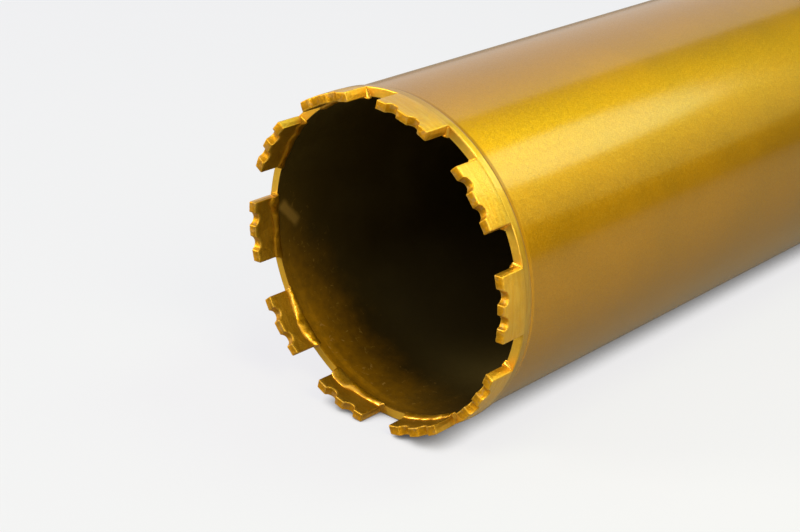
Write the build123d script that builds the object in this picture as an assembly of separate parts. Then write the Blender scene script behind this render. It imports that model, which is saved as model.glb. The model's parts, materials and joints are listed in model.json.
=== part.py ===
"""Diamond core bit for wet drilling in concrete and stone.

Ten notched diamond segments are brazed on end to a crown ring, the ring is seated on a thin steel
barrel, and the barrel is closed by a welded back plate that carries the threaded hub.

Millimetres, +Z up. The bit stands on its hub with the crown at the top. The origin is the centre of
the hub's seating face, where the shoulder of the drill spindle bears. Segment 1 is centred on +X.
"""
from build123d import *
import os

# Crown
bit_diameter = 112.0          # across the outer faces of the segments
drilling_depth = 450.0        # from the segment tips down to the back plate
segment_count = 10
segment_length = 21.3         # straight across, between the two parallel ends
segment_height = 9.5
segment_proud = 0.15          # outer face of a segment beyond the crown ring
segment_setback = 0.3         # inner face of a segment behind the crown ring's bore
notch_radius = 2.4
notch_depth = 2.0
notch_spacing = 8.6           # between the centres of the two notches
crest_chamfer = 0.4           # corners beside the notches and at the ends of the tip

# Brazing round the root of each segment
bead_height = 1.7             # up the inner face of the segment
bead_overhang = 0.35          # past the bore of the crown ring
bead_drop = 0.9               # down the bore of the crown ring
end_fillet_length = 1.3       # along the crown ring from each end of the segment
end_fillet_hollow = 0.25      # depth of the hollow in an end fillet's face
fillet_setback = 0.25         # from the flat of the crown ring's rim

# Crown ring and barrel
band_length = 3.8             # part of the crown ring that shows beyond the barrel
band_proud = 0.85             # outer face of the crown ring beyond the barrel
band_chamfer = 0.3
spigot_length = 6.0           # part of the crown ring inside the barrel
spigot_clearance = 0.05       # radial, and half of the play at the spigot's end
barrel_wall = 2.5
barrel_end_chamfer = 0.5

# Back plate and hub
plate_thickness = 8.0
plate_recess = 3.0            # barrel's end beyond the outer face of the back plate
plate_clearance = 0.1         # radial, between the back plate and the barrel's bore
water_hole_diameter = 16.0
hub_diameter = 50.0
hub_length = 36.0
hub_chamfer = 1.2
thread_minor_diameter = 28.2  # tapping size of a 1-1/4 inch, 7 to the inch thread
thread_major_diameter = 31.75
countersink_lap = 0.3         # countersink's mouth beyond the thread's major radius
wrench_width = 41.0           # across the two flats
wrench_flat_height = 16.0
wrench_flat_start = 9.0       # from the seating face

# Welds
plate_weld_leg = 2.6
hub_weld_leg = 4.0

# Radii
segment_outer = bit_diameter / 2
ring_outer = segment_outer - segment_proud
barrel_outer = ring_outer - band_proud
barrel_bore = barrel_outer - barrel_wall
segment_inner = barrel_bore + segment_setback
socket_radius = barrel_bore + barrel_wall / 2
spigot_outer = socket_radius - spigot_clearance
plate_outer = barrel_bore - plate_clearance
water_radius = water_hole_diameter / 2
hub_radius = hub_diameter / 2
thread_minor = thread_minor_diameter / 2
thread_major = thread_major_diameter / 2

# Heights
plate_bottom = hub_length
plate_top = plate_bottom + plate_thickness
tip_height = plate_top + drilling_depth
rim_height = tip_height - segment_height
barrel_top = rim_height - band_length
barrel_bottom = plate_bottom - plate_recess


def turned(*outline):
    """Solid of revolution about Z, from the corners of its (radius, height) outline."""
    return revolve(Plane.XZ * make_face(Polyline(*outline, close=True)), Axis.Z)


def barrel():
    """Thin tube with a socket turned in its top for the crown ring's spigot."""
    socket_floor = barrel_top - spigot_length - 2 * spigot_clearance
    return turned(
        (barrel_bore, barrel_bottom),
        (barrel_outer - barrel_end_chamfer, barrel_bottom),
        (barrel_outer, barrel_bottom + barrel_end_chamfer),
        (barrel_outer, barrel_top),
        (socket_radius, barrel_top),
        (socket_radius, socket_floor),
        (barrel_bore, socket_floor),
    )


def crown_ring():
    """Ring that carries the segments: a band proud of the barrel, and a spigot inside it."""
    spigot_bottom = barrel_top - spigot_length
    return turned(
        (barrel_bore, spigot_bottom),
        (spigot_outer, spigot_bottom),
        (spigot_outer, barrel_top),
        (ring_outer - band_chamfer, barrel_top),
        (ring_outer, barrel_top + band_chamfer),
        (ring_outer, rim_height - band_chamfer),
        (ring_outer - band_chamfer, rim_height),
        (barrel_bore, rim_height),
    )


def segment_blank():
    """First segment before its notches: a curved wall between parallel ends, standing on the rim."""
    wall = turned(
        (segment_inner, rim_height),
        (segment_outer, rim_height),
        (segment_outer, tip_height),
        (segment_inner, tip_height),
    )
    ends = Pos(0, 0, rim_height) * Box(
        bit_diameter, segment_length, segment_height, align=(Align.MIN, Align.CENTER, Align.MIN)
    )
    return wall & ends


def segment_side_view():
    """Outline of a segment looked at from outside, with its notches and its broken crest corners."""
    view = Pos(0, segment_height / 2) * Rectangle(segment_length, segment_height)
    notch_centre_height = segment_height - notch_depth + notch_radius
    for side in (-1, 1):
        view -= Pos(side * notch_spacing / 2, notch_centre_height) * Circle(notch_radius)
    crest_corners = view.vertices().group_by(Axis.Y)[-1]
    return chamfer(crest_corners, crest_chamfer)


def segment():
    """First segment: the blank cut to its side view."""
    side_view = Plane.YZ * Pos(0, rim_height) * segment_side_view()
    return segment_blank() & extrude(side_view, bit_diameter)


def braze():
    """Brazing of the first segment: a bead along its inner face and a hollow fillet at each end.

    A turned band is cut to length by a side view with hollow ends, and the segment is taken out of
    it. The brazing touches the rim, the ring's bore and the segment, face to face.
    """
    bead_lip = barrel_bore - bead_overhang
    fillet_outer = ring_outer - fillet_setback - band_chamfer
    bead_top = rim_height + bead_height
    band = turned(
        (barrel_bore, rim_height),
        (fillet_outer, rim_height),
        (fillet_outer, bead_top),
        (segment_inner, bead_top),
        (bead_lip, rim_height),
        (barrel_bore, rim_height - bead_drop),
    )
    half = segment_length / 2
    toe = half + end_fillet_length
    side_view = make_face(
        [
            Polyline((-toe, 0), (-toe, -bead_drop), (toe, -bead_drop), (toe, 0)),
            SagittaArc((toe, 0), (half, bead_height), end_fillet_hollow),
            Line((half, bead_height), (-half, bead_height)),
            SagittaArc((-half, bead_height), (-toe, 0), end_fillet_hollow),
        ]
    )
    cutter = extrude(Plane.YZ * Pos(0, rim_height) * side_view, segment_outer)
    return (band & cutter) - segment_blank()


def back_plate():
    """Round plate inside the barrel's end, with the water hole through its middle."""
    return turned(
        (water_radius, plate_bottom),
        (plate_outer, plate_bottom),
        (plate_outer, plate_top),
        (water_radius, plate_top),
    )


def hub():
    """Turned hub, tapped right through, with two wrench flats milled in its side."""
    countersink = thread_major + countersink_lap - thread_minor
    body = turned(
        (thread_minor + countersink, 0),
        (hub_radius - hub_chamfer, 0),
        (hub_radius, hub_chamfer),
        (hub_radius, hub_length),
        (thread_minor, hub_length),
        (thread_minor, countersink),
    )
    slab = Box(hub_radius, hub_diameter, wrench_flat_height, align=(Align.MIN, Align.CENTER, Align.MIN))
    flat = Pos(wrench_width / 2, 0, wrench_flat_start) * slab
    return body - flat - Rot(0, 0, 180) * flat


def plate_weld():
    """Weld in the corner between the back plate's outer face and the barrel's bore."""
    toe = (barrel_bore - plate_weld_leg, plate_bottom)
    heel = (barrel_bore, plate_bottom)
    crown = (barrel_bore, plate_bottom - plate_weld_leg)
    return turned(toe, heel, crown)


def hub_weld():
    """Weld in the corner between the hub and the back plate's outer face."""
    toe = (hub_radius + hub_weld_leg, plate_bottom)
    heel = (hub_radius, plate_bottom)
    crown = (hub_radius, plate_bottom - hub_weld_leg)
    return turned(toe, crown, heel)


def crown_pattern(name, first):
    """Copies of the first piece round the crown, one for each segment, numbered from 01."""
    pitch = 360 / segment_count
    return {f"{name}_{index + 1:02d}": Rot(0, 0, index * pitch) * first for index in range(segment_count)}


def assembly():
    """Every piece of the bit in its place, by name."""
    pieces = {
        "barrel": barrel(),
        "crown_ring": crown_ring(),
        "back_plate": back_plate(),
        "hub": hub(),
        "plate_weld": plate_weld(),
        "hub_weld": hub_weld(),
    }
    pieces.update(crown_pattern("segment", segment()))
    pieces.update(crown_pattern("braze", braze()))
    return pieces


os.makedirs("parts", exist_ok=True)
for node, piece in assembly().items():
    export_step(piece, f"parts/{node}.step")
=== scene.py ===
"""Finished surfaces of a diamond core bit, laid over its CAD frame.

Metres, in the row frame: +Z up, the bit stands on its hub with the crown at the top. The camera
lies on its side, so that the tall backdrop behind the bit reads as the floor that it lies on.
"""
import json
from math import pi, radians, tau

import bpy
import numpy as np
from mathutils import Matrix, Vector


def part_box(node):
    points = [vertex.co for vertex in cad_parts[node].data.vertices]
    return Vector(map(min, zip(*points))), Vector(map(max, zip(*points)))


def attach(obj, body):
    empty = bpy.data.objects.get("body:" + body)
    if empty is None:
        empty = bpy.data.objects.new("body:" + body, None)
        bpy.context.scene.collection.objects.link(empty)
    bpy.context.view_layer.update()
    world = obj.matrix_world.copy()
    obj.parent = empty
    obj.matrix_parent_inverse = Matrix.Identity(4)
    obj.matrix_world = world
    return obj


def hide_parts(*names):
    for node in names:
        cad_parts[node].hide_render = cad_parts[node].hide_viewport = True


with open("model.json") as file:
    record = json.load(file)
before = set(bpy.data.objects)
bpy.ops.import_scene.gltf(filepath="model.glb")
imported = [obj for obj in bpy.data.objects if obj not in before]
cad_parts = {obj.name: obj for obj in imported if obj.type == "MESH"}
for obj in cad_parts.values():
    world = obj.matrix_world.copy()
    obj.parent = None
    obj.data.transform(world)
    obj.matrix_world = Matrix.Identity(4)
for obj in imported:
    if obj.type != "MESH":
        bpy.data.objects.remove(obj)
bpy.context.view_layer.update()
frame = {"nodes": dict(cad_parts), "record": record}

bl_info = {
    "name": "Diamond core bit",
    "version": (1, 0, 0),
    "blender": (4, 5, 0),
    "location": "3D View > Sidebar > Core Bit",
    "description": "Painted barrel, notched segments, brazing, welds and hub of a diamond core bit",
    "category": "Object",
}

MM = 0.001


def outer(node):
    """Outer radius of a round CAD node."""
    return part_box(node)[1].x


def bottom(node):
    """Lowest height of a CAD node."""
    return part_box(node)[0].z


def top(node):
    """Highest height of a CAD node."""
    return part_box(node)[1].z


SEGMENTS = sorted(name for name in frame["nodes"] if name.startswith("segment_"))
BRAZES = sorted(name for name in frame["nodes"] if name.startswith("braze_"))
PITCH = tau / len(SEGMENTS)

BARREL_OUTER = outer("barrel")
BARREL_BORE = outer("plate_weld")
RING_OUTER = outer("crown_ring")
SEGMENT_OUTER = outer("segment_01")
SEGMENT_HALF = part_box("segment_01")[1].y
SEGMENT_INNER = float(np.hypot(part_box("segment_01")[0].x, SEGMENT_HALF))
SOCKET = (BARREL_OUTER + BARREL_BORE) / 2
RIM = top("crown_ring")
TIP = top("segment_01")
SPIGOT_BOTTOM = bottom("crown_ring")
BARREL_TOP = top("barrel")
BARREL_BOTTOM = bottom("barrel")
PLATE_BOTTOM = bottom("back_plate")
PLATE_TOP = top("back_plate")
PLATE_OUTER = outer("back_plate")
WATER_RADIUS = 8.0 * MM
HUB_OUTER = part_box("hub")[1].y
HUB_TOP = top("hub")
THREAD_MINOR = frame["record"]["mounts"][0]["dims"]["r_mm"] * MM
COUNTERSINK_LAP = 0.3 * MM

# Thick places in the brazing, by segment number: place along the segment and reach in mm, and share
SWELLS = {
    3: (-8.6, 2.2, 0.8), 4: (3.2, 5.5, 0.6), 5: (-5.2, 4.6, 1.8), 6: (-3.0, 5.0, 0.2), 8: (5.0, 3.0, 0.4),
}

# Share of brown painted shade on the brazing, by segment number, for the beads that lie in shadow
SHADED_BEADS = {1: 0.3, 2: 0.85, 3: 0.85, 4: 0.3}


# Settings


def length(name, description, default):
    """Setting that holds a length."""
    return bpy.props.FloatProperty(name=name, description=description, default=default, unit="LENGTH")


def bearing(name, description, degrees):
    """Setting that holds an angle."""
    return bpy.props.FloatProperty(
        name=name, description=description, default=radians(degrees), subtype="ANGLE"
    )


def amount(name, description, default):
    """Setting that holds a share or a strength."""
    return bpy.props.FloatProperty(name=name, description=description, default=default)


def tint(name, description, *default):
    """Setting that holds a colour."""
    return bpy.props.FloatVectorProperty(
        name=name, description=description, default=default, size=3, subtype="COLOR"
    )


class CoreBitCrown(bpy.types.PropertyGroup):
    """Sizes of the segments and of their brazing."""

    notch_radius: length("Notch radius", "Radius of the round notches", 2.4 * MM)
    notch_depth: length("Notch depth", "Depth of a notch below the tip", 2.0 * MM)
    notch_spacing: length("Notch spacing", "Between the centres of the two notches", 8.6 * MM)
    edge_rounding: length("Edge rounding", "Radius of the painted edges", 0.36 * MM)
    unevenness: length("Unevenness", "Spread of the notches and crests", 0.22 * MM)
    root_blend: length("Root blend", "Height over which a segment comes flush with the ring", 2 * MM)
    shoulder: length("Shoulder", "Length of the ring's slope down to the barrel", 1.2 * MM)
    bead_height: length("Bead height", "Height of the brazing on a segment", 1.7 * MM)
    bead_lip: length("Bead lip", "Reach of the brazing over the bore's edge", 0.85 * MM)


class CoreBitHub(bpy.types.PropertyGroup):
    """Sizes of the hub that the CAD frame doesn't give."""

    thread_major: length("Thread radius", "Major radius of the thread", 15.875 * MM)
    thread_pitch: length("Thread pitch", "Height of one turn of the thread", 25.4 / 7 * MM)
    flat_distance: length("Flat distance", "From the axis to a wrench flat", 20.5 * MM)
    flat_start: length("Flat start", "Height of a flat's lower edge", 9 * MM)
    flat_end: length("Flat end", "Height of a flat's upper edge", 25 * MM)
    chamfer: length("Chamfer", "Chamfer of the seating face's edge", 1.2 * MM)
    ripple_pitch: length("Weld ripple", "Distance between the ripples of a weld", 1.8 * MM)


class CoreBitPaint(bpy.types.PropertyGroup):
    """Colours and grain of the finishes."""

    gold: tint("Gold", "Flake paint", 0.80, 0.375, 0.003)
    # Pale gold: real streaks and random pale tones, and painted highlights on single flakes, the crown, the
    # rim and the segments' edges and sides.
    streak_and_highlight_gold: tint("Light gold", "Streaks and worn edges", 0.94, 0.60, 0.08)
    orange: tint("Orange gold", "Paint on the tips", 0.86, 0.395, 0.003)
    # Brown: a random tone on the tips, and painted shade in the ring's step, in the notches, on the segments'
    # inner faces, on the shaded brazing, on darker flakes and where the paint is seen edge-on.
    brown_and_shade: tint("Brown", "Thin paint in notches and corners", 0.32, 0.14, 0.002)
    grit: tint("Grit", "Diamond grit that shows through the paint", 0.46, 0.36, 0.22)
    bore: tint("Bore", "Bare inside of the barrel", 0.028, 0.0162, 0.0016)
    # Paler grey deep in the bore toward the side where the light falls in: painted light. It also colours
    # random stains.
    pale_bore: tint("Bore Light", "Dull bloom on the bare inside", 0.095, 0.067, 0.019)
    film: tint("Film", "Thin paint inside the mouth", 0.37, 0.165, 0.001)
    # Smears, and a painted patch of light on the bore just inside the mouth.
    smear_and_lit_patch: tint("Smear And Lit Patch", "Smears and the spill of braze inside the mouth", 0.38, 0.215, 0.05)
    steel: tint("Steel", "Bare thread", 0.42, 0.40, 0.37)
    # Painted shade: the flake paint turns brown where it is seen edge-on.
    edge_on_shade: amount("Flop", "Share of brown in the flake paint seen edge-on", 0.36)
    flake: length("Flake", "Size of a metal flake", 0.28 * MM)
    overspray: length("Overspray", "Reach of the paint inside the barrel", 19 * MM)
    # The film reaches deepest on the side where the light falls into the mouth: real overspray that is partly
    # painted light.
    overspray_and_light_side: bearing("Overspray side", "Direction in which the paint reaches deepest", 128)
    # Side of the painted light deep in the bore.
    bore_light_side: bearing("Haze side", "Direction of the dull bloom deep inside", 158)
    # Place of the painted patch of light just inside the mouth.
    lit_patch_side: bearing("Spill side", "Direction of the spill of braze inside the mouth", 68.5)
    lit_patch_depth: length("Spill depth", "From the rim to the middle of the spill", 5.6 * MM)


class CoreBitStage(bpy.types.PropertyGroup):
    """Camera, backdrop and light."""

    camera: bpy.props.FloatVectorProperty(
        name="Camera", description="Place of the camera", default=(0.0686, -0.37503, 0.82034), size=3,
        subtype="TRANSLATION",
    )
    view: bpy.props.FloatVectorProperty(
        name="View", description="Direction that the camera looks in", default=(-0.14024, 0.73376, -0.66477),
        size=3, subtype="DIRECTION",
    )
    lens: amount("Lens", "Focal length in millimetres", 72.4)
    aim_height: length("Aim height", "Height on the axis that the lamps point at", 0.44)
    wall_azimuth: bearing("Wall azimuth", "Direction that the backdrop faces", -20.83)
    wall_gap: length("Wall gap", "Between the crown ring and the backdrop", 0.05 * MM)
    wall_reach: length("Wall reach", "Half the width of the backdrop", 6.0)
    flag_distance: length("Flag distance", "From the crown to the black flag", 1.3)
    flag_turn: bpy.props.FloatVectorProperty(
        name="Flag turn", description="Start and end of the black flag round the bit, in degrees from the "
        "direction that the backdrop faces", default=(-12.0, 93.0), size=2,
    )
    flag_polar: bpy.props.FloatVectorProperty(
        name="Flag tilt", description="Start and end of the black flag from straight down, in degrees",
        default=(18.0, 64.0), size=2,
    )
    # Painted contact shadow: ambient occlusion near the bit darkens the backdrop's glow.
    contact_reach: length("Contact reach", "How near the bit must be to shade the backdrop's glow", 10 * MM)
    contact_shade: amount("Contact shade", "Share of the glow that stays where the bit touches", 0.03)
    glow_share: amount("Glow share", "Share of glow in the backdrop that the camera sees", 0.88)
    # The dim glow that the paint mirrors is a painted darker reflection of the backdrop, darker still near
    # the bit.
    mirror_share: amount("Mirror share", "Share of dim glow in the backdrop that the paint mirrors", 0.8)
    mirror_glow: amount("Mirror glow", "Strength of that dim glow", 0.14)
    surroundings: amount("Surroundings", "Strength of the world's light on the bit", 0.73)
    pale: tint("Pale grey", "Backdrop and surroundings", 0.879, 0.879, 0.879)
    glow: tint("Glow", "Backdrop as the camera sees it, less the tint of the lamps", 0.860, 0.860, 0.897)


# Surfaces

# Distance from a curve to the point that holds the flat beside it, as a share of the rounding
HOLD = 0.5

# Rounding of a corner that stays sharp or is hidden
CRISP = 0.01 * MM


def smooth_noise(points, size, seed, waves=28):
    """Smooth random value at each point, mostly from -1 to 1.

    The sum of sine waves in random directions, with wavelengths spread about the given size.
    """
    rng = np.random.default_rng(seed)
    direction = rng.normal(size=(waves, 3))
    direction /= np.linalg.norm(direction, axis=1, keepdims=True)
    direction *= tau / (size * rng.uniform(0.6, 1.8, (waves, 1)))
    phase = rng.uniform(0, tau, waves)
    return np.sin(points @ direction.T + phase).sum(-1) / np.sqrt(waves)


def skin(name, grid, closed, material, sharp=40):
    """New object whose surface is a grid of points (u, v, xyz), closed round v.

    Its last row joins its first where closed is true. Otherwise each end row is closed by a fan to
    its mean point. The faces are turned so that the enclosed volume is positive.
    """
    rows, columns = grid.shape[:2]
    index = np.arange(rows * columns).reshape(rows, columns)
    near = index if closed else index[:-1]
    far = np.roll(index, -1, 0) if closed else index[1:]
    quads = np.stack([near, np.roll(near, -1, 1), np.roll(far, -1, 1), far], -1).reshape(-1, 4)
    points = grid.reshape(-1, 3)
    fans = np.empty((0, 3), int)
    if not closed:
        points = np.vstack([points, grid[0].mean(0), grid[-1].mean(0)])
        first, last = index[0], index[-1]
        start, end = np.full(columns, len(points) - 2), np.full(columns, len(points) - 1)
        fans = np.vstack([
            np.stack([start, np.roll(first, -1), first], -1),
            np.stack([end, last, np.roll(last, -1)], -1),
        ])
    a, b, c, d = (points[quads[:, side]] for side in range(4))
    volume = (np.cross(b - a, c - a) * a).sum() + (np.cross(c - a, d - a) * a).sum()
    if volume < 0:
        quads, fans = quads[:, ::-1], fans[:, ::-1]
    mesh = bpy.data.meshes.new(name)
    mesh.from_pydata(points, [], quads.tolist() + fans.tolist())
    mesh.shade_smooth()
    mesh.set_sharp_from_angle(angle=radians(sharp))
    mesh.materials.append(material)
    piece = bpy.data.objects.new(name, mesh)
    bpy.context.scene.collection.objects.link(piece)
    return piece


def sheet(name, grid, material, facing):
    """New stage object: an open sheet over a grid of points (u, v, xyz), turned to face a point."""
    rows, columns = grid.shape[:2]
    index = np.arange(rows * columns).reshape(rows, columns)
    quads = np.stack([index[:-1, :-1], index[1:, :-1], index[1:, 1:], index[:-1, 1:]], -1).reshape(-1, 4)
    mesh = bpy.data.meshes.new(name)
    mesh.from_pydata(grid.reshape(-1, 3), [], quads.tolist())
    first = mesh.polygons[0]
    if first.normal.dot(Vector(facing) - first.center) < 0:
        mesh.flip_normals()
    mesh.shade_smooth()
    mesh.materials.append(material)
    made = bpy.data.objects.new(name, mesh)
    bpy.context.scene.collection.objects.link(made)
    return made


def mark(piece, name, values):
    """Keeps one value a point on a piece, for its material. The points that close its ends get 0."""
    attribute = piece.data.attributes.new(name, "FLOAT", "POINT")
    padded = np.zeros(len(piece.data.vertices), np.float32)
    padded[: values.size] = values.ravel()
    attribute.data.foreach_set("value", padded)


def fit(piece, slot, *nodes):
    """The piece moves with the bit and stands for CAD nodes, which it hides. The slot is not used."""
    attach(piece, "root")
    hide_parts(*nodes)


def rounded_outline(corners, steps=6):
    """Closed outline with each corner replaced by a short curve.

    A corner is its radius, its height and its rounding, the distance from it at which the curve
    starts. The curve is the parabola from a point before the corner to one after it, pulled to the
    corner. A further point before and after each curve keeps the bend out of the flats' shading.
    """
    corner, cut = np.split(np.array(corners, float), [2], axis=1)
    before = np.roll(corner, 1, 0) - corner
    after = np.roll(corner, -1, 0) - corner
    start = corner + before / np.linalg.norm(before, axis=1, keepdims=True) * cut
    end = corner + after / np.linalg.norm(after, axis=1, keepdims=True) * cut
    t = np.linspace(0, 1, steps)[None, :, None]
    curve = (1 - t) ** 2 * start[:, None] + 2 * t * (1 - t) * corner[:, None] + t**2 * end[:, None]
    hold = HOLD * np.stack([start - corner, end - corner], 1)
    held = np.concatenate([curve[:, :1] + hold[:, :1], curve, curve[:, -1:] + hold[:, 1:]], 1)
    return held.reshape(-1, 2)


def upright(radius, angle, height):
    """Points from their distance to the axis, their angle round it and their height."""
    return np.stack(np.broadcast_arrays(radius * np.cos(angle), radius * np.sin(angle), height), -1)


def ring_angles(columns):
    """Evenly spaced angles round the axis, as a column."""
    return np.linspace(0, tau, columns, endpoint=False)[:, None]


def turned(outline, columns=288):
    """Grid of a surface of revolution: each (radius, height) of the outline goes round the axis."""
    return upright(outline[:, 0], ring_angles(columns), outline[:, 1])


def turn(grid, angle):
    """The same points, turned round the bit's axis."""
    c, s = np.cos(angle), np.sin(angle)
    x, y, z = np.moveaxis(grid, -1, 0)
    return np.stack([c * x - s * y, s * x + c * y, z], -1)


def wrapped(radius, side, height):
    """Points from their distance to the axis, their sideways place and their height.

    The third side of the right triangle gives x, so that a face of constant side stays flat.
    """
    x = np.sqrt(radius**2 - side**2)
    return np.stack(np.broadcast_arrays(x, side, height), -1)


def crest_line(sizes, rng, count):
    """Side and height of a segment's top along its length, evenly spaced along the line.

    The height is the tip's, or that of a circle where a notch is deeper. It is then the mean of
    its neighbours within a short distance, which rounds the crests.
    """
    uneven = sizes.unevenness
    half = SEGMENT_HALF - sizes.edge_rounding
    middle = 3.2 * MM
    side = np.linspace(-half, half, 6000)
    height = np.full(side.shape, TIP)
    crest_drop = rng.uniform(0, 1, 3) * uneven
    height -= np.interp(side, (-half, -middle, middle, half), crest_drop[[0, 1, 1, 2]])
    centre = np.array([-0.5, 0.5]) * sizes.notch_spacing + rng.normal(0, 1, 2) * uneven
    radius = sizes.notch_radius * (1 + rng.uniform(-0.07, 0.07, 2))
    floor = TIP - sizes.notch_depth + rng.uniform(-0.4, 1, 2) * uneven
    across = side[:, None] - centre
    inside = np.abs(across) < radius
    circle = floor + radius - np.sqrt(np.where(inside, radius**2 - across**2, 0))
    height = np.minimum(height, np.where(inside, circle, TIP).min(1))
    run = np.concatenate([[0], np.hypot(np.diff(side), np.diff(height)).cumsum()])
    even = np.linspace(0, run[-1], count)
    line = np.stack([np.interp(even, run, side), np.interp(even, run, height)])
    reach = 3
    padded = np.pad(line, ((0, 0), (reach, reach)), mode="reflect", reflect_type="odd")
    kernel = np.bartlett(2 * reach + 3)[1:-1]
    return np.stack([np.convolve(row, kernel / kernel.sum(), "valid") for row in padded])


def segment_grid(index, sizes):
    """Grid of one segment, standing on +X, with its crest, notch, edge, inward and run values.

    A rounded rectangle in the plane of radius and height is carried along the segment's length.
    Its top follows the crest line. Near the ends it shrinks by a quarter circle, and each end is
    closed by rows that shrink to the middle.
    """
    rng = np.random.default_rng(100 + index)
    edge = sizes.edge_rounding
    side, height = crest_line(sizes, rng, 168)
    walls, bends, tops, bases = 18, 7, 10, 5
    phi = np.linspace(0, pi / 2, bends)[:-1]
    shrink = np.array([0.12, 0.35, 0.6, 0.82, 0.95])
    caps = len(shrink)
    inset = edge * (1 - np.sin(phi))
    round_side = SEGMENT_HALF - edge * (1 - np.cos(phi))
    body = np.ones(len(side))
    ends = np.concatenate([np.full(caps, SEGMENT_HALF), round_side])
    across = np.concatenate([-ends, side, ends[::-1]])
    rise = np.concatenate([np.full(len(ends), height[0]), height, np.full(len(ends), height[-1])])
    keep = np.concatenate([shrink, np.ones(len(phi)), body, np.ones(len(phi)), shrink[::-1]])
    pulled = np.concatenate([np.full(caps, edge), inset, 0 * body, inset[::-1], np.full(caps, edge)])

    wall = np.linspace(0, 1, walls, endpoint=False)
    bend = np.linspace(0, pi / 2, bends, endpoint=False)
    flat = np.linspace(0, 1, tops, endpoint=False)
    base = np.linspace(0, 1, bases, endpoint=False)
    one, zero = np.ones, np.zeros
    out = np.concatenate([one(walls), one(bends), 1 - flat, zero(bends), zero(walls), base])
    out_shift = np.concatenate(
        [zero(walls), np.cos(bend) - 1, 2 * flat - 1, 1 - np.sin(bend), zero(walls), zero(bases)]
    )
    up = np.concatenate([wall, one(bends), one(tops), one(bends), 1 - wall, zero(bases)])
    up_shift = np.concatenate(
        [-wall, np.sin(bend) - 1, zero(tops), np.cos(bend) - 1, wall - 1, zero(bases)]
    )
    corner = np.concatenate(
        [wall**12, one(bends), (2 * flat - 1) ** 12, one(bends), (1 - wall) ** 12, zero(bases)]
    )

    low = SEGMENT_INNER + pulled[:, None]
    high = SEGMENT_OUTER - pulled[:, None]
    ceiling = rise[:, None] - pulled[:, None]
    level = RIM + (ceiling - RIM) * up + edge * up_shift
    flush = (SEGMENT_OUTER - RING_OUTER) * np.clip(1 - (level - RIM) / sizes.root_blend, 0, 1) ** 2
    radius = low + (high - flush - low) * out + edge * out_shift
    middle_radius, middle_level = (SEGMENT_INNER + SEGMENT_OUTER) / 2, (RIM + TIP) / 2
    radius = middle_radius + (radius - middle_radius) * keep[:, None]
    level = middle_level + (level - middle_level) * keep[:, None]
    points = wrapped(radius, across[:, None], level)

    centre = np.array([SEGMENT_OUTER, 0, TIP])
    lumps = np.clip(0.5 + 0.35 * smooth_noise(points - centre, 1.6 * MM, 300 + index), 0, 1) * keep[:, None]
    points[..., 0] += np.where(out > 0.5, -0.02, 0.05) * MM * lumps * up
    points[..., 2] -= 0.09 * MM * lumps * np.clip(2 * up - 1, 0, 1)

    slope = np.unwrap(np.arctan2(np.gradient(rise), np.gradient(across) + 1e-12))
    convex = np.clip(-np.gradient(slope) * 3, 0, 1)
    crest_depth = 0.5 * MM
    crest = np.clip((points[..., 2] - (rise[:, None] - crest_depth)) / crest_depth, 0, 1)
    notch = np.clip((TIP - rise) / sizes.notch_depth, 0, 1)[:, None] * crest
    end_edge = np.clip(pulled / edge, 0, 1) * (keep > 0.9)
    edges = np.clip(np.maximum(corner, np.maximum(convex[:, None] * crest, end_edge[:, None])), 0, 1)
    inward = np.broadcast_to(1 - out, crest.shape)
    run = np.broadcast_to(across[:, None] + index, crest.shape)
    return turn(points, index * PITCH), crest, notch, edges, inward, run


def band_grid(sizes, columns=720):
    """Grid of the crown ring: its spigot, its slope down to the barrel and its rim go round the axis.

    The rim's outer edge is rounded between the segments and square under them, where brazing has
    filled it: each point lies between a square and a rounded outline, by its distance from the
    nearest segment.
    """
    spigot = SOCKET - 0.05 * MM
    corners = np.array([
        (BARREL_BORE, SPIGOT_BOTTOM, CRISP),
        (spigot, SPIGOT_BOTTOM, CRISP),
        (spigot, BARREL_TOP, CRISP),
        (BARREL_OUTER, BARREL_TOP, CRISP),
        (BARREL_OUTER + 0.08 * MM, BARREL_TOP + 0.3 * sizes.shoulder, 0.2 * MM),
        (RING_OUTER, BARREL_TOP + sizes.shoulder, 0.4 * MM),
        (RING_OUTER, RIM, 0.42 * MM),
        (BARREL_BORE, RIM, 0.3 * MM),
    ])
    rim_edge = 6
    square = corners.copy()
    square[rim_edge, 2] = 0.03 * MM
    angle = ring_angles(columns)
    arc = np.abs((angle + PITCH / 2) % PITCH - PITCH / 2) * RING_OUTER
    free = np.clip((arc - SEGMENT_HALF) / (1.4 * MM), 0, 1)[..., None]
    edged = turned(rounded_outline(square), columns)
    return edged + (turned(rounded_outline(corners), columns) - edged) * free


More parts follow.
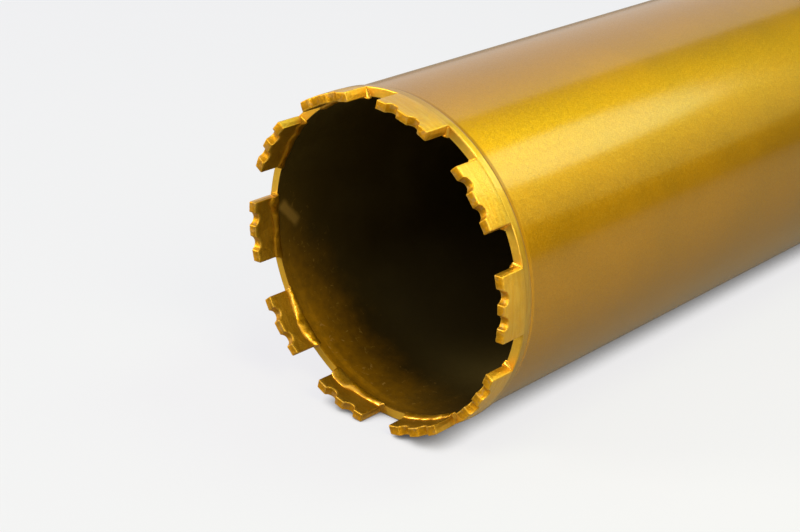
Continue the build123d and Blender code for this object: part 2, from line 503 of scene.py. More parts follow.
def braze_grid(index, sizes):
    """Grid of one brazing bead, carried round the inner root of a segment from end to end.

    The path runs in along one end of the segment, round its inner face and out along the other
    end. The section is a closed quadratic B-spline of six points, from the segment's face down a
    slope to the rim: full along the inner face, where it also hangs over the rim's inner edge, and
    low and hollow at the ends. Its height swells at the place listed for the segment.
    """
    ends, bends, inners = 16, 7, 110
    run_in = np.linspace(RING_OUTER - 0.5 * MM, SEGMENT_INNER, ends)
    inner = np.linspace(SEGMENT_HALF, -SEGMENT_HALF, inners)
    bend = np.linspace(0, pi / 2, bends + 2)[1:-1]
    radius = np.concatenate([run_in, np.full(2 * bends + inners, SEGMENT_INNER), run_in[::-1]])
    side = np.concatenate([
        np.full(ends + bends, SEGMENT_HALF), inner, np.full(bends + ends, -SEGMENT_HALF)
    ])
    still, full = np.zeros(ends), np.ones(ends)
    inward = np.concatenate([still, np.sin(bend), np.ones(inners), np.cos(bend), still])
    outward = np.concatenate([full, np.cos(bend), np.zeros(inners), -np.sin(bend), -full])
    station = np.arange(len(radius))
    place = np.stack([radius, side, station * 0.0], -1)

    def vary(size, share, key):
        return 1 + share * smooth_noise(place, size, 900 + 10 * index + key)

    inner_run = inward**2
    swell_place, swell_reach, swell = SWELLS.get(index + 1, (0, 1, 0))
    swelling = 1 + swell * np.exp(-(((side - swell_place * MM) / (swell_reach * MM)) ** 2)) * inner_run
    height = sizes.bead_height * swelling
    height = height * np.clip(1.05 * vary(8 * MM, 0.2, 1) * vary(3.4 * MM, 0.07, 2), 0.55, 1.5)
    end_width = 1.1 * MM * np.clip(vary(3 * MM, 0.14, 3), 0.6, 1.0)
    lip = sizes.bead_lip * np.clip(vary(6 * MM, 0.2, 4) * vary(2.6 * MM, 0.07, 6), 0.5, 1.4)
    width = end_width + (lip * swelling**0.4 - end_width) * inner_run
    drop = 0.9 * MM * np.clip(vary(5 * MM, 0.35, 5), 0.2, 1.2) * inner_run
    fade = np.clip(np.minimum(station, station[::-1]) / (ends - 1), 0, 1)
    height = height * (0.16 + 0.46 * fade + 0.38 * inner_run)
    width = width * (0.45 + 0.55 * fade)

    def corner(away, level):
        return np.stack([away, level], -1)

    sunk = 0.25 * MM
    back = np.full(len(radius), -sunk)
    under = -drop - 0.04 * MM
    wall = SEGMENT_INNER - BARREL_BORE
    belly = 0.3 + 0.5 * inner_run
    control = np.stack([
        corner(back, height),
        corner((0.08 + 0.17 * inner_run) * width, (0.9 + 0.12 * inner_run) * height),
        corner(belly * width, (0.36 + 0.26 * inner_run) * height),
        corner(1.08 * width, 0.02 * height - 0.25 * drop),
        corner(0.9 * width * (1 - inner_run) + (wall + sunk) * inner_run, under),
        corner(back, under),
    ], 1)
    count = 4
    t = np.arange(count) / count
    weights = np.stack([0.5 * (1 - t) ** 2, 0.5 + t - t**2, 0.5 * t**2], -1)
    triples = np.stack([np.roll(control, -shift, 1) for shift in range(3)], 2)
    section = np.einsum("tk,upkc->uptc", weights, triples).reshape(len(radius), -1, 2)

    away, level = section[..., 0], section[..., 1]
    points = wrapped(
        radius[:, None] - away * inward[:, None], side[:, None] + away * outward[:, None], RIM + level
    )
    return turn(points, index * PITCH)


def thread_radius(angle, height, sizes):
    """Radius of the tapped hole.

    A right-handed helix: the depth is a trapezoid wave of the height in turns, less the angle in turns.
    It fades out at the top, and the countersink grows with 45 degrees to the seating face.
    """
    depth = sizes.thread_major - THREAD_MINOR
    phase = (height / sizes.thread_pitch - angle / tau) % 1
    wave = np.clip((np.abs(2 * phase - 1) - 0.25) / 0.56, 0, 1)
    fade = np.clip((HUB_TOP - height) / (1.5 * MM), 0, 1)
    countersink = THREAD_MINOR + depth + COUNTERSINK_LAP - height
    return np.maximum(THREAD_MINOR + depth * wave * fade, countersink)


def hub_grid(sizes, columns=240):
    """Grid of the hub: its outside from the seating face up, and its thread from the top down.

    The outer radius is the round one, or the distance over the cosine of the angle where a flat
    lies nearer. The inner one is the thread's.
    """
    angle = ring_angles(columns)
    soft = 0.25 * MM
    chamfer = sizes.chamfer
    levels = np.concatenate([
        np.linspace(chamfer, sizes.flat_start - soft, 8),
        np.linspace(sizes.flat_start, sizes.flat_end, 20),
        np.linspace(sizes.flat_end + soft, HUB_TOP, 8),
    ])
    on_flat = (levels >= sizes.flat_start) & (levels <= sizes.flat_end)
    flat = sizes.flat_distance / np.maximum(np.abs(np.cos(angle)), 1e-6)
    outside = np.where(on_flat, np.minimum(HUB_OUTER, flat), HUB_OUTER)
    inside_levels = np.linspace(HUB_TOP, 0, 220)
    inside = thread_radius(angle, inside_levels, sizes)
    foot_radii = np.array([[HUB_OUTER - chamfer - soft, HUB_OUTER - chamfer + 0.1 * MM]])
    foot = np.broadcast_to(foot_radii, (columns, 2))
    height = np.concatenate([[0, 0.08 * MM], levels, inside_levels])
    return upright(np.concatenate([foot, outside, inside], 1), angle, height)


def weld_grid(corner_radius, leg, direction, pitch, seed, columns=1440):
    """Grid of a ring weld in the corner under the back plate.

    The section is a right triangle with a slightly hollow face. The face sinks with arched
    ripples, a sine of the angle and of the place across the bead, and with a slow unevenness.
    """
    angle = ring_angles(columns)
    t = np.linspace(0, 1, 15)
    turns = np.round(tau * corner_radius / pitch)
    arch = 0.35 * np.sin(pi * t)
    ripple = 0.5 + 0.5 * np.sin(turns * angle - tau * arch)
    place = np.stack([np.cos(angle), np.sin(angle), 0 * angle], -1) * corner_radius
    slow = 0.5 + 0.5 * smooth_noise(place, 14 * MM, seed)
    size = leg * (1 - 0.10 * slow)
    sink = (0.10 * leg + 0.07 * leg * ripple) * np.sin(pi * t)
    away = size * (1 - t) - sink * 0.7
    below = size * t - sink * 0.7
    hidden = 0.15 * MM
    heel = np.full((columns, 1), corner_radius - direction * hidden)
    radius = np.concatenate([corner_radius + direction * away, heel], 1)
    height = np.concatenate([PLATE_BOTTOM - below, np.full((columns, 1), PLATE_BOTTOM)], 1)
    return upright(radius, angle, height)


# Materials


def feed(tree, made, inputs):
    """Fills inputs of a node: linked where the value is a socket, and set where it is a number."""
    for key, value in inputs.items():
        if isinstance(value, bpy.types.NodeSocket):
            tree.links.new(value, made.inputs[key])
        else:
            made.inputs[key].default_value = value
    return made


def node(tree, kind, inputs=None, **settings):
    """New shader node with its settings and inputs."""
    made = tree.nodes.new("ShaderNode" + kind)
    for key, value in settings.items():
        setattr(made, key, value)
    return feed(tree, made, inputs or {})


def math(tree, operation, first, second=0.0, third=0.0, clamp=False):
    """Result of one Math node."""
    inputs = {0: first, 1: second, 2: third}
    return node(tree, "Math", inputs, operation=operation, use_clamp=clamp).outputs[0]


def times(tree, first, second):
    """Product of two values."""
    return math(tree, "MULTIPLY", first, second)


def blend(tree, factor, first, second):
    """Colour between two colours."""
    first, second = (
        value if isinstance(value, bpy.types.NodeSocket) else (*value, 1) for value in (first, second)
    )
    return node(tree, "Mix", {"Factor": factor, 6: first, 7: second}, data_type="RGBA").outputs[2]


def ramp(tree, value, low, high, start=0.0, end=1.0):
    """Value that goes smoothly from start to end as the input goes from low to high."""
    return node(
        tree, "MapRange", {"Value": value, "From Min": low, "From Max": high, "To Min": start, "To Max": end},
        interpolation_type="SMOOTHSTEP",
    ).outputs["Result"]


def noise(tree, place, scale, detail, **more):
    """Value of a noise texture."""
    return node(tree, "TexNoise", {"Vector": place, "Scale": scale, "Detail": detail, **more}).outputs[0]


def from_axis(tree, place):
    """Distance from the bit's axis."""
    flat = node(tree, "VectorMath", {0: place, 1: (1, 1, 0)}, operation="MULTIPLY").outputs[0]
    return node(tree, "VectorMath", {0: flat}, operation="LENGTH").outputs["Value"]


def effect(name, inputs, outputs):
    """New node group. An input without a default is a vector, and each output has its kind."""
    tree = bpy.data.node_groups.new(name, "ShaderNodeTree")
    for label, default in inputs.items():
        kind = "NodeSocketVector" if default is None else "NodeSocketFloat"
        socket = tree.interface.new_socket(label, in_out="INPUT", socket_type=kind)
        if default is not None:
            socket.default_value = default
    for label, kind in outputs.items():
        tree.interface.new_socket(label, in_out="OUTPUT", socket_type="NodeSocket" + kind)
    return tree, tree.nodes.new("NodeGroupInput").outputs, tree.nodes.new("NodeGroupOutput")


def use(tree, name, inputs):
    """One use of a shared effect in a material."""
    return node(tree, "Group", inputs, node_tree=bpy.data.node_groups[name]).outputs


def make_flake_effect():
    """Metal flakes: each cell of a fine Voronoi pattern tilts the normal its own way, and has a random value
    for painted glints and shade.
    """
    tree, given, result = effect(
        "Metal Flake", {"Place": None, "Fineness": 3600.0, "Tilt": 0.16},
        {"Normal": "Vector", "Painted Glint": "Float"},
    )
    cells = node(tree, "TexVoronoi", {"Vector": given["Place"], "Scale": given["Fineness"]})
    centred = node(tree, "VectorMath", {0: cells.outputs["Color"], 1: (-0.5, -0.5, -0.5)}, operation="ADD")
    tilt = node(tree, "VectorMath", {0: centred.outputs[0], "Scale": given["Tilt"]}, operation="SCALE")
    facing = node(tree, "NewGeometry").outputs["Normal"]
    tilted = node(tree, "VectorMath", {0: facing, 1: tilt.outputs[0]}, operation="ADD")
    unit = node(tree, "VectorMath", {0: tilted.outputs[0]}, operation="NORMALIZE")
    glint_value = node(tree, "SeparateColor", {0: cells.outputs["Color"]}).outputs[0]
    feed(tree, result, {"Normal": unit.outputs[0], "Painted Glint": glint_value})


def make_spray_effect():
    """Uneven spray: slow clouds and fine mist, from 0 to 1 about 0.5, and an orange-peel height."""
    tree, given, result = effect(
        "Spray Mottle", {"Place": None, "Clouds": 40.0, "Peel": 700.0},
        {"Mottle": "Float", "Peel Height": "Float"},
    )
    clouds = noise(tree, given["Place"], given["Clouds"], 3.0)
    mist = noise(tree, given["Place"], 900.0, 2.0)
    both = math(tree, "MULTIPLY_ADD", clouds, 0.65, times(tree, mist, 0.35))
    feed(tree, result, {"Mottle": both, "Peel Height": noise(tree, given["Place"], given["Peel"], 1.0)})


def make_overspray_effect():
    """Paint inside the bore: thin and mottled, fading with depth, ragged, with smears, and with painted
    light.

    The angle round the axis comes from the arctangent of Y and X. The film is deepest on the side where
    the light falls in, so it is partly painted light. A painted patch of light is a slanted bar in the plane
    of arc length and depth, and a paler grey deep inside is painted light too.
    """
    tree, given, result = effect(
        "Overspray",
        {
            "Place": None, "Bore": 0.0, "Rim": 0.0, "Reach": 0.02, "Side": 0.0, "Haze Side": 0.0,
            "Lit Patch Side": 0.0, "Lit Patch Depth": 0.0,
        },
        {"Inside": "Float", "Film": "Float", "Smear And Lit Patch": "Float", "Bore Light": "Float"},
    )
    place = given["Place"]
    inside = math(tree, "LESS_THAN", from_axis(tree, place), math(tree, "ADD", given["Bore"], 0.25 * MM))
    parts = node(tree, "SeparateXYZ", {0: place}).outputs
    depth = math(tree, "SUBTRACT", given["Rim"], parts[2])
    angle = math(tree, "ARCTAN2", parts[1], parts[0])

    def toward(side):
        return math(tree, "COSINE", math(tree, "SUBTRACT", angle, side))

    # The film is deepest and thickest on the side where the light falls in: real overspray, partly painted
    # light.
    facing = toward(given["Side"])
    reach = times(tree, given["Reach"], ramp(tree, facing, -0.1, 1.05, 0.12, 1.1))
    ragged = math(tree, "MULTIPLY_ADD", noise(tree, place, 110.0, 5.0, Roughness=0.6), 0.9, 0.5)
    relative = math(tree, "DIVIDE", depth, times(tree, reach, ragged))
    mist = noise(tree, place, 330.0, 4.0, Roughness=0.6)
    patchy = ramp(tree, mist, 0.3, 0.66, 0.66, 1.0)
    thickness = times(tree, math(tree, "POWER", math(tree, "MAXIMUM", facing, 0.0), 3.6), 0.95)
    faded = times(tree, ramp(tree, relative, -0.2, 1.5, 1.0, 0.0), patchy)
    film = times(tree, faded, thickness)
    brush = noise(tree, place, 430.0, 2.0, Roughness=0.6, Distortion=1.2)
    scarce = ramp(tree, relative, 0.4, 1.8, 0.5, 0.0)
    scarce = times(tree, scarce, math(tree, "MULTIPLY_ADD", thickness, 1.1, 0.2))
    smears = times(tree, ramp(tree, brush, 0.62, 0.74), scarce)

    # Painted patch of light: a slanted bar just inside the mouth, added to the smears.
    slant = radians(40)
    arc = times(tree, math(tree, "SUBTRACT", angle, given["Lit Patch Side"]), given["Bore"])
    down = math(tree, "SUBTRACT", depth, given["Lit Patch Depth"])
    long_way = math(tree, "ADD", times(tree, arc, np.cos(slant)), times(tree, down, np.sin(slant)))
    short_way = math(tree, "SUBTRACT", times(tree, down, np.cos(slant)), times(tree, arc, np.sin(slant)))
    wavy = times(tree, math(tree, "SUBTRACT", mist, 0.5), 1.6 * MM)

    def within(way, full, none):
        return ramp(tree, math(tree, "ADD", math(tree, "ABSOLUTE", way), wavy), full, none, 1.0, 0.0)

    bar = times(tree, within(long_way, 4.2 * MM, 7.0 * MM), within(short_way, 0.8 * MM, 2.5 * MM))
    smear_and_lit_patch = math(tree, "MAXIMUM", smears, times(tree, bar, 0.29))
    # Painted light: a paler grey deep in the bore, toward the side where the light falls in.
    pale_bore = times(
        tree, ramp(tree, depth, 18 * MM, 46 * MM), ramp(tree, toward(given["Haze Side"]), 0.35, 0.95)
    )
    feed(tree, result, {"Inside": inside, "Film": film, "Smear And Lit Patch": smear_and_lit_patch, "Bore Light": pale_bore})


def make_streak_effect():
    """Streaks that run along the crown's edge: a noise stretched along the way round the axis."""
    tree, given, result = effect(
        "Drag Streaks", {"Run": 0.0, "Level": 0.0, "Spread": 0.16}, {"Streak": "Float"}
    )
    drawn = node(tree, "CombineXYZ", {0: times(tree, given["Run"], given["Spread"]), 1: given["Level"]})
    feed(tree, result, {"Streak": noise(tree, drawn.outputs[0], 800.0, 4.0)})


def make_edge_highlight_effect():
    """Broken-up edge mask: the edge value, eaten by a noise."""
    tree, given, result = effect(
        "Edge Break", {"Place": None, "Edge": 0.0, "Amount": 0.5}, {"Mask": "Float"}
    )
    grain = noise(tree, given["Place"], 1300.0, 3.0)
    limit = math(tree, "SUBTRACT", 1.0, given["Amount"])
    eaten = math(tree, "SUBTRACT", given["Edge"], times(tree, grain, limit))
    feed(tree, result, {"Mask": ramp(tree, eaten, 0.0, 0.45)})


def flake_material(name, paint, tilt, clouds=40.0, peel=700.0):
    """New material with its tree, its shader, the object's coordinates, its flakes and its spray."""
    material = bpy.data.materials.new(name)
    material.use_nodes = True
    tree = material.node_tree
    place = node(tree, "TexCoord").outputs["Object"]
    flake = use(tree, "Metal Flake", {"Place": place, "Fineness": 1 / paint.flake, "Tilt": tilt})
    spray = use(tree, "Spray Mottle", {"Place": place, "Clouds": clouds, "Peel": peel})
    return material, tree, tree.nodes["Principled BSDF"], place, flake, spray


def bare_material(name):
    """New material whose tree has only its output, with that output."""
    material = bpy.data.materials.new(name)
    material.use_nodes = True
    tree = material.node_tree
    tree.nodes.remove(tree.nodes["Principled BSDF"])
    return material, tree, tree.nodes["Material Output"]


def bump(tree, height, distance, strength, normal):
    """Normal bent by a height."""
    return node(
        tree, "Bump", {"Height": height, "Distance": distance, "Strength": strength, "Normal": normal}
    ).outputs[0]


def tube_paint(paint):
    """Gold flake paint of the barrel and crown ring, with the bare bore behind its overspray.

    The ring has pale drag streaks, lightened at the crown as a painted highlight, a painted highlight on
    its rim, and painted shade, brown, in its step to the barrel. Flakes carry painted glints and shade, and
    the paint turns brown edge-on as painted shade.
    """
    material, tree, shader, place, flake, spray = flake_material("tube_flake_paint", paint, 0.13)
    bore = use(tree, "Overspray", {
        "Place": place, "Bore": BARREL_BORE, "Rim": RIM, "Reach": paint.overspray,
        "Side": paint.overspray_and_light_side, "Haze Side": paint.bore_light_side, "Lit Patch Side": paint.lit_patch_side,
        "Lit Patch Depth": paint.lit_patch_depth,
    })
    stain = ramp(tree, noise(tree, place, 22.0, 6.0, Roughness=0.6), 0.42, 0.72)
    # Random stains, and painted light deep in the bore.
    stain_and_bore_light = math(tree, "MULTIPLY_ADD", stain, 0.22, times(tree, bore["Bore Light"], 0.8))
    bare = blend(tree, stain_and_bore_light, paint.bore, paint.pale_bore)
    coated = blend(tree, bore["Film"], bare, paint.film)
    smeared = blend(tree, bore["Smear And Lit Patch"], coated, paint.smear_and_lit_patch)

    gold = blend(tree, ramp(tree, spray["Mottle"], 0.35, 0.65, 0.0, 0.2), paint.gold, paint.orange)
    # Painted glints and painted shade: single flakes lighter and darker.
    gold = blend(tree, ramp(tree, flake["Painted Glint"], 0.65, 0.95, 0.0, 0.18), gold, paint.streak_and_highlight_gold)
    gold = blend(tree, ramp(tree, flake["Painted Glint"], 0.05, 0.35, 0.13, 0.0), gold, paint.brown_and_shade)
    parts = node(tree, "SeparateXYZ", {0: place}).outputs
    run = times(tree, math(tree, "ARCTAN2", parts[1], parts[0]), RING_OUTER)
    streak = use(tree, "Drag Streaks", {"Run": run, "Level": parts[2]})["Streak"]
    # Pale streaks on the ring: real streaks, and a painted highlight that brightens the crown.
    crown = ramp(tree, parts[2], BARREL_TOP + 0.2 * MM, BARREL_TOP + 1.6 * MM)
    pale = times(tree, ramp(tree, streak, 0.40, 0.66, 0.3, 0.65), crown)
    gold = blend(tree, pale, gold, paint.streak_and_highlight_gold)
    # Painted shade: brown in the step from the ring down to the barrel, with less metal and less coat.
    from_step = math(tree, "ABSOLUTE", math(tree, "SUBTRACT", parts[2], BARREL_TOP - 0.1 * MM))
    shaded_step = ramp(tree, from_step, 0.5 * MM, 1.4 * MM, 1.0, 0.0)
    gold = blend(tree, times(tree, shaded_step, 0.85), gold, paint.brown_and_shade)
    # Painted highlight: pale gold on the rim, with no coat.
    rim = ramp(tree, parts[2], RIM - 0.15 * MM, RIM - 0.02 * MM)
    gold = blend(tree, times(tree, rim, 0.4), gold, paint.streak_and_highlight_gold)
    # Painted shade: brown where the paint is seen edge-on.
    facing = node(tree, "LayerWeight", {"Blend": 0.5}).outputs["Facing"]
    gold = blend(tree, ramp(tree, facing, 0.4, 0.72, 0.0, paint.edge_on_shade), gold, paint.brown_and_shade)

    outside = math(tree, "SUBTRACT", 1.0, bore["Inside"])
    flaked = math(tree, "MAXIMUM", outside, times(tree, bore["Film"], 0.5))
    rough = ramp(tree, spray["Mottle"], 0.3, 0.7, 0.47, 0.53)
    uncoated = math(tree, "MAXIMUM", times(tree, shaded_step, 0.4), rim)
    feed(tree, shader, {
        "Base Color": blend(tree, bore["Inside"], gold, smeared),
        "Metallic": math(tree, "SUBTRACT", flaked, times(tree, shaded_step, 0.6), clamp=True),
        "Roughness": math(tree, "MULTIPLY_ADD", bore["Inside"], 0.14, rough),
        "Specular IOR Level": 0.1,
        "Normal": bump(tree, spray["Peel Height"], 0.02 * MM, 0.25, flake["Normal"]),
        "Coat Weight": math(tree, "SUBTRACT", outside, uncoated, clamp=True),
        "Coat Roughness": 0.16,
        "Coat IOR": 1.6,
    })
    return material


def segment_paint(paint):
    """Paint over the sintered segments: deeper on the tips, with painted shade in the notches, thin paint and
    painted shade on the inner faces, and painted highlights on edges and sides.
    """
    material, tree, shader, place, flake, spray = flake_material(
        "segment_flake_paint", paint, 0.22, clouds=160.0, peel=1100.0
    )

    def kept(name):
        return node(tree, "Attribute", attribute_name=name).outputs["Fac"]

    edge = use(tree, "Edge Break", {"Place": place, "Edge": kept("edge"), "Amount": 0.45})["Mask"]
    level = node(tree, "SeparateXYZ", {0: place}).outputs[2]
    streak = use(tree, "Drag Streaks", {"Run": kept("run"), "Level": level})["Streak"]
    side = blend(tree, ramp(tree, spray["Mottle"], 0.38, 0.62, 0.0, 0.4), paint.gold, paint.orange)
    # Pale streaks on the sides: real streaks and a painted highlight.
    side = blend(tree, ramp(tree, streak, 0.40, 0.66, 0.3, 0.65), side, paint.streak_and_highlight_gold)
    tips = blend(tree, ramp(tree, spray["Mottle"], 0.42, 0.64, 0.0, 0.35), paint.orange, paint.brown_and_shade)
    colour = blend(tree, kept("crest"), side, tips)
    # Painted shade: brown in the notches.
    colour = blend(tree, times(tree, kept("notch"), 0.32), colour, paint.brown_and_shade)
    # Brown on the inner faces: thin paint and painted shade.
    colour = blend(tree, times(tree, kept("inward"), 0.68), colour, paint.brown_and_shade)
    grain = noise(tree, place, 520.0, 3.0)
    bared = times(tree, ramp(tree, grain, 0.52, 0.64, 0.0, 0.25), kept("crest"))
    colour = blend(tree, bared, colour, paint.grit)
    rasp = noise(tree, place, 1500.0, 4.0)
    worked = math(tree, "MAXIMUM", kept("crest"), kept("inward"))
    feed(tree, shader, {
        # Painted highlight: pale gold on the broken-up edges.
        "Base Color": blend(tree, times(tree, edge, 0.25), colour, paint.streak_and_highlight_gold),
        "Metallic": 0.92,
        "Roughness": ramp(tree, spray["Mottle"], 0.3, 0.7, 0.46, 0.60),
        "Normal": bump(tree, rasp, 0.12 * MM, 0.5, flake["Normal"]),
        "Coat Weight": ramp(tree, worked, 0.1, 0.9, 0.85, 0.05),
        "Coat Roughness": 0.2,
    })
    return material


def braze_paint(paint):
    """Paint over the lumpy brazing, with brown painted shade and less coat where the bead is marked as dull.
    """
    material, tree, shader, place, flake, spray = flake_material(
        "braze_flake_paint", paint, 0.18, clouds=220.0, peel=900.0
    )
    # Painted shade: the dull value marks the beads that lie in shadow.
    dull = node(tree, "Attribute", attribute_name="dull").outputs["Fac"]
    gold = blend(tree, ramp(tree, spray["Mottle"], 0.4, 0.62, 0.0, 0.4), paint.gold, paint.streak_and_highlight_gold)
    feed(tree, shader, {
        "Base Color": blend(tree, dull, gold, paint.brown_and_shade),
        "Metallic": 0.92,
        "Roughness": ramp(tree, spray["Mottle"], 0.3, 0.7, 0.37, 0.49),
        "Normal": bump(tree, spray["Peel Height"], 0.12 * MM, 0.4, flake["Normal"]),
        "Coat Weight": math(tree, "SUBTRACT", 0.9, dull, clamp=True),
        "Coat Roughness": 0.15,
    })
    return material


def back_paint(paint):
    """Gold flake paint of the back plate, hub and welds.

    The thread and the seating face are bare steel, and what faces the bore is as dark as the bore.
    """
    material, tree, shader, place, flake, spray = flake_material("back_flake_paint", paint, 0.13, clouds=70.0)
    thread = math(tree, "LESS_THAN", from_axis(tree, place), HUB_OUTER * 0.7)
    height = node(tree, "SeparateXYZ", {0: place}).outputs[2]
    seat = math(tree, "LESS_THAN", height, 0.06 * MM)
    above = math(tree, "GREATER_THAN", height, PLATE_BOTTOM + 0.5 * MM)
    bare = math(tree, "MAXIMUM", math(tree, "MAXIMUM", thread, seat), above)
    gold = blend(tree, ramp(tree, spray["Mottle"], 0.35, 0.65, 0.0, 0.2), paint.gold, paint.orange)
    metal = blend(tree, above, paint.steel, paint.bore)
    feed(tree, shader, {
        "Base Color": blend(tree, bare, gold, metal),
        "Metallic": 1.0,
        "Roughness": ramp(tree, spray["Mottle"], 0.3, 0.7, 0.36, 0.46),
        "Normal": bump(tree, spray["Peel Height"], 0.02 * MM, 0.25, flake["Normal"]),
        "Coat Weight": 1.0,
        "Coat Roughness": 0.12,
    })
    return material


def material_named(name, make):
    """The material of that name, made when it is first asked for."""
    found = bpy.data.materials.get(name)
    return found or make(bpy.context.scene.core_bit_paint)


# Operators


class CORE_BIT_OT_effects(bpy.types.Operator):
    """Make the effects that the materials share"""

    bl_idname = "core_bit.effects"
    bl_label = "Shared effects"

    def execute(self, context):
        make_flake_effect()
        make_spray_effect()
        make_overspray_effect()
        make_streak_effect()
        make_edge_highlight_effect()
        return {"FINISHED"}


class CORE_BIT_OT_barrel(bpy.types.Operator):
    """Make the painted barrel"""

    bl_idname = "core_bit.barrel"
    bl_label = "Barrel"

    def execute(self, context):
        socket_floor = SPIGOT_BOTTOM - 0.02 * MM
        outline = rounded_outline([
            (BARREL_BORE, BARREL_BOTTOM, 0.2 * MM),
            (BARREL_OUTER, BARREL_BOTTOM, 0.6 * MM),
            (BARREL_OUTER, BARREL_TOP, CRISP),
            (SOCKET, BARREL_TOP, CRISP),
            (SOCKET, socket_floor, CRISP),
            (BARREL_BORE, socket_floor, CRISP),
        ])
        piece = skin("barrel_shell", turned(outline), True, material_named("tube_flake_paint", tube_paint))
        fit(piece, "gold_paint", "barrel")
        return {"FINISHED"}


class CORE_BIT_OT_crown_ring(bpy.types.Operator):
    """Make the ring that carries the segments"""

    bl_idname = "core_bit.crown_ring"
    bl_label = "Crown ring"

    def execute(self, context):
        grid = band_grid(context.scene.core_bit_crown)
        piece = skin("crown_band", grid, True, material_named("tube_flake_paint", tube_paint))
        fit(piece, "gold_paint", "crown_ring")
        return {"FINISHED"}


class CORE_BIT_OT_segments(bpy.types.Operator):
    """Make the notched diamond segments"""

    bl_idname = "core_bit.segments"
    bl_label = "Segments"

    def execute(self, context):
        material = material_named("segment_flake_paint", segment_paint)
        for index, cad_node in enumerate(SEGMENTS):
            points, *values = segment_grid(index, context.scene.core_bit_crown)
            piece = skin(f"notched_{cad_node}", points, False, material, sharp=70)
            for name, value in zip(("crest", "notch", "edge", "inward", "run"), values):
                mark(piece, name, value)
            fit(piece, "painted_segment", cad_node)
        return {"FINISHED"}


class CORE_BIT_OT_brazing(bpy.types.Operator):
    """Make the brazing beads at the roots of the segments"""

    bl_idname = "core_bit.brazing"
    bl_label = "Brazing"

    def execute(self, context):
        material = material_named("braze_flake_paint", braze_paint)
        for index, cad_node in enumerate(BRAZES):
            grid = braze_grid(index, context.scene.core_bit_crown)
            piece = skin(f"bead_{cad_node}", grid, False, material, sharp=80)
            # Painted shade, kept as the dull value, on the beads that lie in shadow.
            mark(piece, "dull", np.full(grid.shape[:2], SHADED_BEADS.get(index + 1, 0.0)))
            fit(piece, "painted_braze", cad_node)
        return {"FINISHED"}


class CORE_BIT_OT_back(bpy.types.Operator):
    """Make the back plate, the threaded hub and their welds"""

    bl_idname = "core_bit.back"
    bl_label = "Back plate and hub"

    def execute(self, context):
        sizes = context.scene.core_bit_hub
        ripple = sizes.ripple_pitch
        material = material_named("back_flake_paint", back_paint)
        plate = rounded_outline([
            (WATER_RADIUS, PLATE_BOTTOM, 0.3 * MM),
            (PLATE_OUTER, PLATE_BOTTOM, 0.2 * MM),
            (PLATE_OUTER, PLATE_TOP, 0.2 * MM),
            (WATER_RADIUS, PLATE_TOP, 0.3 * MM),
        ])
        plate_weld_leg = PLATE_BOTTOM - bottom("plate_weld")
        hub_weld_leg = PLATE_BOTTOM - bottom("hub_weld")
        pieces = (
            ("plate_disc", turned(plate), "back_plate"),
            ("hub_body", hub_grid(sizes), "hub"),
            ("plate_bead", weld_grid(BARREL_BORE, plate_weld_leg, -1, ripple, 51), "plate_weld"),
            ("hub_bead", weld_grid(HUB_OUTER, hub_weld_leg, 1, ripple, 52), "hub_weld"),
        )
        for name, grid, cad_node in pieces:
            piece = skin(name, grid, True, material, sharp=32)
            fit(piece, "gold_paint", cad_node)
        return {"FINISHED"}


# Each lamp: name, direction as shares of the backdrop's normal, up and sideways, distance and
# diameter in metres, power in watts and colour
LAMPS = (
    ("softbox", (0.60, -0.70, 0.38), 0.9, 0.3, 0.47, (0.66, 1.0, 0.66)),
    ("strip", (0.41, -0.74, 0.53), 0.9, 0.45, 0.36, (0.88, 1.0, 0.3)),
    ("overhead", (0.85, -0.4, 0.33), 1.0, 0.4, 3.1, (0.70, 1.0, 0.5)),
    ("side", (0.6, 0.2, 0.75), 0.65, 0.33, 3.3, (1.0, 0.93, 0.45)),
    ("front", (0.4, 0.7, -0.6), 3.0, 1.2, 60.0, (1.0, 0.95, 0.7)),
)


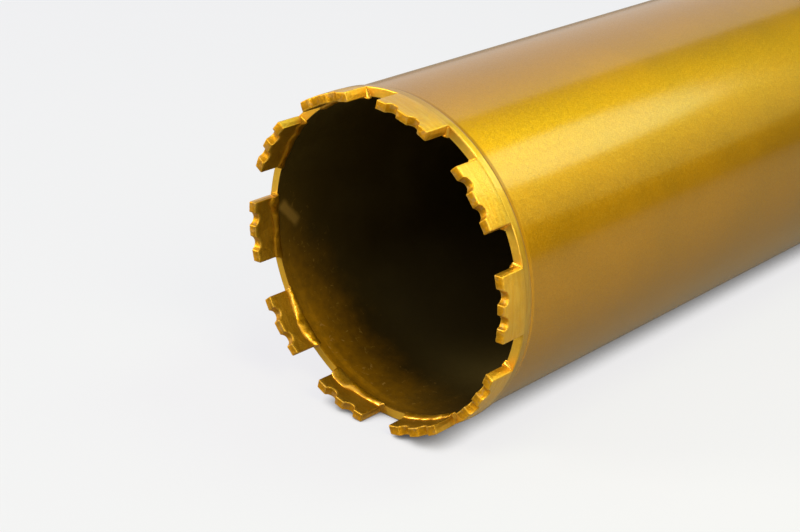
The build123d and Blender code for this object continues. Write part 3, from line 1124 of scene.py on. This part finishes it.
class CORE_BIT_OT_stage(bpy.types.Operator):
    """Make the camera, the pale backdrop, the lamps and the surroundings"""

    bl_idname = "core_bit.stage"
    bl_label = "Stage"

    def execute(self, context):
        scene = context.scene
        stage = scene.core_bit_stage
        normal = Vector((np.cos(stage.wall_azimuth), np.sin(stage.wall_azimuth), 0))
        along = Vector((0, 0, 1))
        sideways = normal.cross(along)

        view = Vector(stage.view).normalized()
        right = view.cross(normal).normalized()
        up = right.cross(view)
        camera_data = bpy.data.cameras.new("camera")
        camera_data.lens = stage.lens
        camera_data.clip_start = 0.02
        camera = bpy.data.objects.new("camera", camera_data)
        turned_axes = Matrix((right, up, -view)).transposed().to_4x4()
        camera.matrix_world = Matrix.Translation(stage.camera) @ turned_axes
        scene.collection.objects.link(camera)
        scene.camera = camera

        crown = along * stage.aim_height
        foot = np.array(-normal * (RING_OUTER + stage.wall_gap) + crown)
        reach = np.array([-1, 1]) * stage.wall_reach
        wall = foot + reach[:, None, None] * np.array(along) + reach[None, :, None] * np.array(sideways)
        sheet("backdrop", wall, self.backdrop_material(stage), crown)

        turn_angle = np.linspace(*np.radians(stage.flag_turn), 24)[:, None, None]
        polar = np.linspace(*np.radians(stage.flag_polar), 12)[None, :, None]
        across = np.cos(turn_angle) * np.array(normal) + np.sin(turn_angle) * np.array(sideways)
        ray = np.sin(polar) * across - np.cos(polar) * np.array(along)
        cloth = np.array(crown) + stage.flag_distance * ray
        flag = sheet("black_flag", cloth, self.flag_material(), crown)
        flag.visible_camera = False

        for name, (n, a, b), distance, size, power, colour in LAMPS:
            lamp_data = bpy.data.lights.new(name, "AREA")
            lamp_data.shape = "DISK"
            lamp_data.size = size
            lamp_data.energy = power
            lamp_data.color = colour
            lamp = bpy.data.objects.new(name, lamp_data)
            direction = (normal * n + along * a + sideways * b).normalized()
            lamp.location = crown + direction * distance
            lamp.visible_camera = False
            lamp.rotation_euler = direction.to_track_quat("Z", "Y").to_euler()
            scene.collection.objects.link(lamp)

        world = bpy.data.worlds.new("surroundings")
        world.use_nodes = True
        tree = world.node_tree
        seen = node(tree, "LightPath").outputs["Is Camera Ray"]
        feed(tree, tree.nodes["Background"], {
            "Color": (*stage.pale, 1), "Strength": ramp(tree, seen, 0.0, 1.0, stage.surroundings, 1.0),
        })
        scene.world = world
        scene.view_settings.view_transform = "Standard"
        return {"FINISHED"}

    def flag_material(self):
        """Black cloth, which leaves the dark gaps between the reflections on the barrel."""
        material, tree, output = bare_material("black_cloth")
        cloth = node(tree, "BsdfDiffuse", {"Color": (0.01, 0.01, 0.01, 1)})
        feed(tree, output, {"Surface": cloth.outputs[0]})
        return material

    def backdrop_material(self, stage):
        """Pale one-sided sheet: part glow for the camera, part matt, so that it keeps soft shadows, with a
        painted contact shadow in its glow and a painted darker reflection.
        """
        material, tree, output = bare_material("pale_backdrop")
        pale = (*stage.pale, 1)
        matt = node(tree, "BsdfDiffuse", {"Color": pale})
        # Painted contact shadow: ambient occlusion near the bit darkens the glow, seen and mirrored.
        hidden = node(tree, "AmbientOcclusion", {"Distance": stage.contact_reach}, samples=16)
        painted_contact_shadow = ramp(tree, hidden.outputs["AO"], 0.0, 0.75, stage.contact_shade, 1.0)
        glow = node(tree, "Emission", {"Color": (*stage.glow, 1), "Strength": painted_contact_shadow})
        # Painted darker reflection: glossy rays see the backdrop as a dim glow.
        dim = node(tree, "Emission", {"Color": pale, "Strength": times(tree, painted_contact_shadow, stage.mirror_glow)})
        paths = node(tree, "LightPath").outputs
        straight = times(tree, paths["Is Camera Ray"], stage.glow_share)
        lit = node(tree, "MixShader", {0: straight, 1: matt.outputs[0], 2: glow.outputs[0]})
        mirrored = times(tree, paths["Is Glossy Ray"], stage.mirror_share)
        front = node(tree, "MixShader", {0: mirrored, 1: lit.outputs[0], 2: dim.outputs[0]})
        clear = node(tree, "BsdfTransparent")
        behind = node(tree, "NewGeometry").outputs["Backfacing"]
        whole = node(tree, "MixShader", {0: behind, 1: front.outputs[0], 2: clear.outputs[0]})
        feed(tree, output, {"Surface": whole.outputs[0]})
        return material


class CORE_BIT_PT_panel(bpy.types.Panel):
    """Lists the pieces and their sizes"""

    bl_idname = "CORE_BIT_PT_panel"
    bl_label = "Core Bit"
    bl_space_type = "VIEW_3D"
    bl_region_type = "UI"
    bl_category = "Core Bit"

    def draw(self, context):
        layout = self.layout
        for operator in OPERATORS:
            layout.operator(operator.bl_idname)
        for name, group in SETTINGS.items():
            box = layout.box()
            box.label(text=group.__doc__)
            for key in group.__annotations__:
                box.prop(getattr(context.scene, name), key)


OPERATORS = (
    CORE_BIT_OT_effects,
    CORE_BIT_OT_stage,
    CORE_BIT_OT_barrel,
    CORE_BIT_OT_crown_ring,
    CORE_BIT_OT_segments,
    CORE_BIT_OT_brazing,
    CORE_BIT_OT_back,
)
SETTINGS = {
    "core_bit_crown": CoreBitCrown,
    "core_bit_hub": CoreBitHub,
    "core_bit_paint": CoreBitPaint,
    "core_bit_stage": CoreBitStage,
}


def register():
    for group in SETTINGS.values():
        bpy.utils.register_class(group)
    for name, group in SETTINGS.items():
        setattr(bpy.types.Scene, name, bpy.props.PointerProperty(type=group))
    for operator in OPERATORS:
        bpy.utils.register_class(operator)
    bpy.utils.register_class(CORE_BIT_PT_panel)


def unregister():
    bpy.utils.unregister_class(CORE_BIT_PT_panel)
    for operator in reversed(OPERATORS):
        bpy.utils.unregister_class(operator)
    for name in SETTINGS:
        delattr(bpy.types.Scene, name)
    for group in SETTINGS.values():
        bpy.utils.unregister_class(group)


def main():
    """Registers the add-on and makes every piece."""
    register()
    bpy.ops.core_bit.effects()
    bpy.ops.core_bit.stage()
    bpy.ops.core_bit.barrel()
    bpy.ops.core_bit.crown_ring()
    bpy.ops.core_bit.segments()
    bpy.ops.core_bit.brazing()
    bpy.ops.core_bit.back()


if __name__ == "__main__":
    main()
